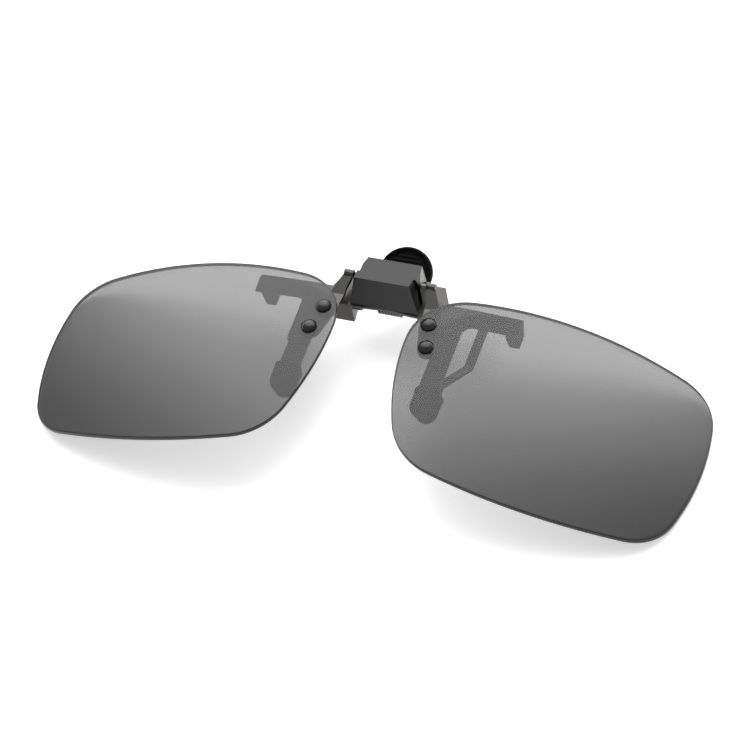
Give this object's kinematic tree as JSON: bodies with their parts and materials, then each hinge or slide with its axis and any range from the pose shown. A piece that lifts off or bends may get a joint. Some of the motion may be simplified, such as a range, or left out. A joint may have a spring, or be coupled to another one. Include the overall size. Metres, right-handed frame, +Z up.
{
  "type": "flip-up clip-on lenses",
  "caption": "Pair of tinted clip-on lenses that flip up on an axle in a small sprung housing, over a spring clip with padded jaws, arms and a thumb pad.",
  "frame": {"origin": "middle of the bounding box, on the surface that the outer edges of the lenses rest on", "axes": "+X across the face from lens to lens, +Y towards the top of the lenses and the thumb pad, +Z up, out of the lens fronts, with the whole clip leaning 1.9 degrees about X as it balances"},
  "size_m": [0.138, 0.0561, 0.02],
  "materials": {
    "lens_tint": "polished neutral grey tint",
    "steel_sheet": "satin",
    "steel_dark": "satin",
    "spring_steel": "bright",
    "black_rivet": "semi-gloss",
    "housing_black": "satin",
    "pad_rubber": "matte"
  },
  "bodies": {
    "clip_body": {"front_jaw": "steel_sheet", "housing_lower_half": "housing_black", "housing_upper_half": "housing_black", "housing_rivets": "spring_steel", "detent_spring": "spring_steel", "front_pad_left": "pad_rubber", "front_pad_right": "pad_rubber", "jaw_pin": "spring_steel", "jaw_spring": "spring_steel"},
    "lens_carrier": {"flip_axle": "spring_steel", "bracket_left": "steel_sheet", "bracket_right": "steel_sheet", "lens_left": "lens_tint", "lens_right": "lens_tint", "rivets_left": "black_rivet", "rivets_right": "black_rivet", "rivet_washers_left": "pad_rubber", "rivet_washers_right": "pad_rubber"},
    "rear_lever": {"rear_jaw": "steel_dark", "thumb_pad": "pad_rubber", "rear_pad_left": "pad_rubber", "rear_pad_right": "pad_rubber"}
  },
  "joints": [
    {"name": "flip", "type": "hinge", "parent": "clip_body", "child": "lens_carrier", "pos_m": [0, 0.0156, 0.01598], "axis": [-1, 0, 0], "range_deg": [0, 90]},
    {"name": "jaw", "type": "hinge", "parent": "clip_body", "child": "rear_lever", "pos_m": [0, 0.01309, 0.00976], "axis": [1, 0, 0], "range_deg": [0, 16], "stiffness_Nm_per_rad": 0.05, "springref_deg": -8.59, "deforming": ["jaw_spring"]}
  ]
}
